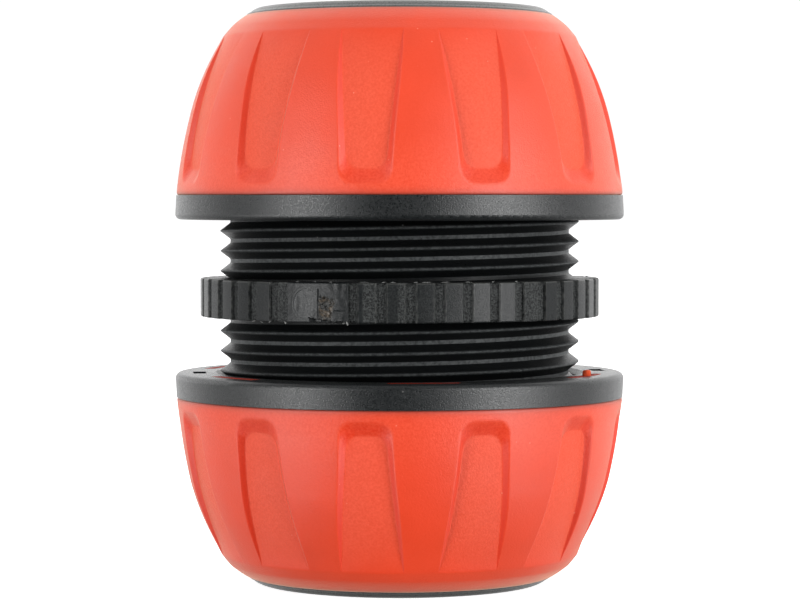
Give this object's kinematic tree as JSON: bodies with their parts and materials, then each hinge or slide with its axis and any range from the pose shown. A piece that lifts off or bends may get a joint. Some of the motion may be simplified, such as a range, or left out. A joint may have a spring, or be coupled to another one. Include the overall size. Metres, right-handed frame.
{
  "type": "hose mender",
  "caption": "Straight hose mender: ribbed centre collar with a threaded sleeve and barbed tail each way, and domed soft-grip nuts that screw on and clamp the hose ends.",
  "frame": {"origin": "centre of the end on which the mender stands, on the hose axis", "axes": "+Z along the hose axis, from the lower nut to the upper nut; -Y faces the camera"},
  "size_m": [0.045, 0.045, 0.0575],
  "materials": {
    "body_plastic": "fine spark-eroded grain, satin black",
    "nut_plastic": "fine spark-eroded grain, satin black",
    "ring_plastic": "satin black",
    "grip_rubber": "soft matte orange red"
  },
  "bodies": {
    "centre": {"centre_body": "body_plastic"},
    "lower_clamp": {"lower_collet": "ring_plastic"},
    "lower_nut": {"lower_nut_core": "nut_plastic", "lower_nut_grip": "grip_rubber"},
    "upper_clamp": {"upper_collet": "ring_plastic"},
    "upper_nut": {"upper_nut_core": "nut_plastic", "upper_nut_grip": "grip_rubber"}
  },
  "joints": [
    {"name": "lower_nut_advance", "type": "slide", "parent": "centre", "child": "lower_clamp", "axis": [0, 0, 1], "range_m": [-0.006, 0.0045]},
    {"name": "lower_nut_turn", "type": "hinge", "parent": "lower_clamp", "child": "lower_nut", "pos_m": [0, 0, 0.0105], "axis": [0, 0, 1], "range_deg": [-1080, 810]},
    {"name": "upper_nut_advance", "type": "slide", "parent": "centre", "child": "upper_clamp", "axis": [0, 0, -1], "range_m": [-0.006, 0.0045]},
    {"name": "upper_nut_turn", "type": "hinge", "parent": "upper_clamp", "child": "upper_nut", "pos_m": [0, 0, 0.047], "axis": [0, 0, -1], "range_deg": [-1080, 810]}
  ],
  "couplings": [
    {"joint": "lower_nut_advance", "follows": "lower_nut_turn", "m_per_rad": 0.00031831},
    {"joint": "upper_nut_advance", "follows": "upper_nut_turn", "m_per_rad": 0.00031831}
  ]
}
